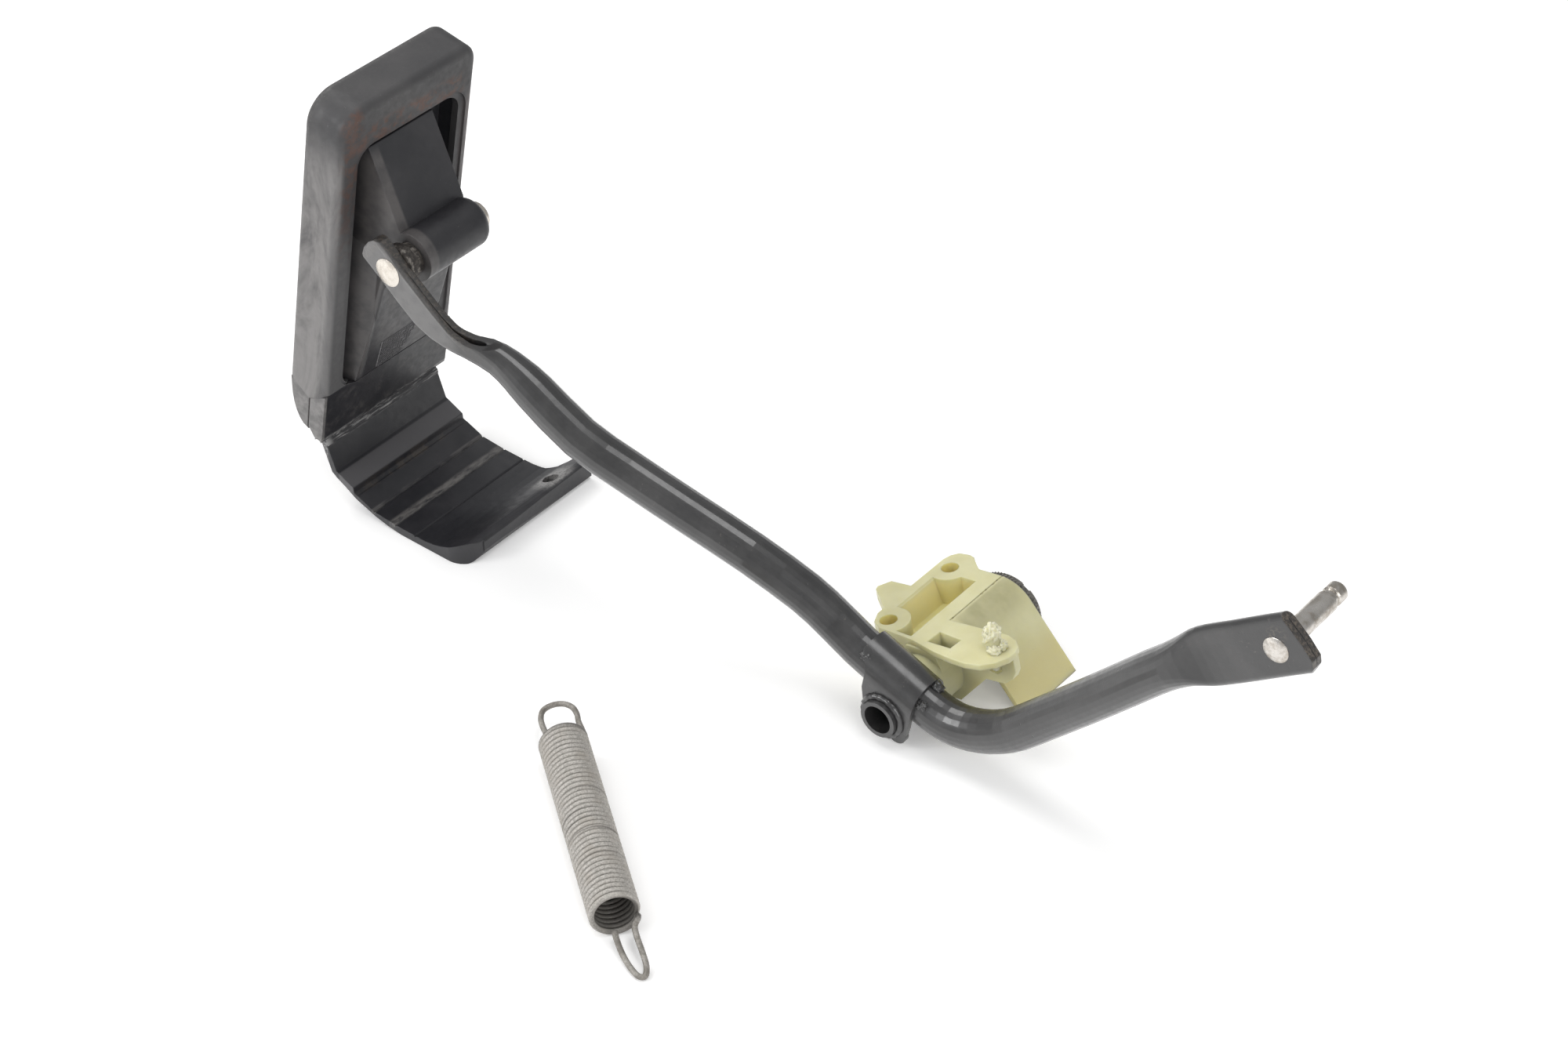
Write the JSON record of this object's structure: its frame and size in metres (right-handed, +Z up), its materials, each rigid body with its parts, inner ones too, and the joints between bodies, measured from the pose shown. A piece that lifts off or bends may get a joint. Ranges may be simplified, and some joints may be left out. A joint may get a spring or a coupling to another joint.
{
  "type": "accelerator pedal",
  "caption": "Accelerator pedal: rubber covered pad on a hinged heel strap, bent tube lever with link pin, moulded pivot bracket and a loose return spring",
  "frame": {"origin": "on the axis of the heel fixing hole, at the floor", "axes": "+X from the pad to the link pin, +Y along the pivot axes away from the lever's free pin heads, +Z up from the floor"},
  "size_m": [0.3776, 0.1985, 0.1659],
  "materials": {
    "cover_rubber": "matte",
    "black_plastic": "satin",
    "black_paint": "semi-gloss, pitted",
    "bare_steel": "turned",
    "rusty_steel": "rusted",
    "nylon": "natural, slightly translucent",
    "zinc_wire": "dull zinc"
  },
  "bodies": {
    "bracket": {"bracket": "nylon", "return_spring": "zinc_wire"},
    "lever": {"lever_tube": "black_paint", "saddle": "black_paint", "pivot_tube": "black_paint", "pivot_washer": "black_paint", "pivot_cap": "black_paint", "pad_pin": "bare_steel", "pin_spacer": "rusty_steel", "link_pin": "bare_steel"},
    "pedal": {"pedal_plate": "black_plastic", "pad_cover": "cover_rubber"},
    "heel": {"heel_strap": "black_plastic"}
  },
  "joints": [
    {"name": "lever_pivot", "type": "hinge", "parent": "bracket", "child": "lever", "pos_m": [0.1647, -0.019, 0.0103], "axis": [0, 1, 0], "range_deg": [-15, 20]},
    {"name": "pad_pivot", "type": "hinge", "parent": "lever", "child": "pedal", "pos_m": [-0.01946, -0.021, 0.11066], "axis": [0, 1, 0], "range_deg": [-20, 25]},
    {"name": "heel_flex", "type": "hinge", "parent": "pedal", "child": "heel", "pos_m": [-0.05939, -0.021, 0.02427], "axis": [0, 1, 0], "range_deg": [-20, 8], "stiffness_Nm_per_rad": 1}
  ]
}
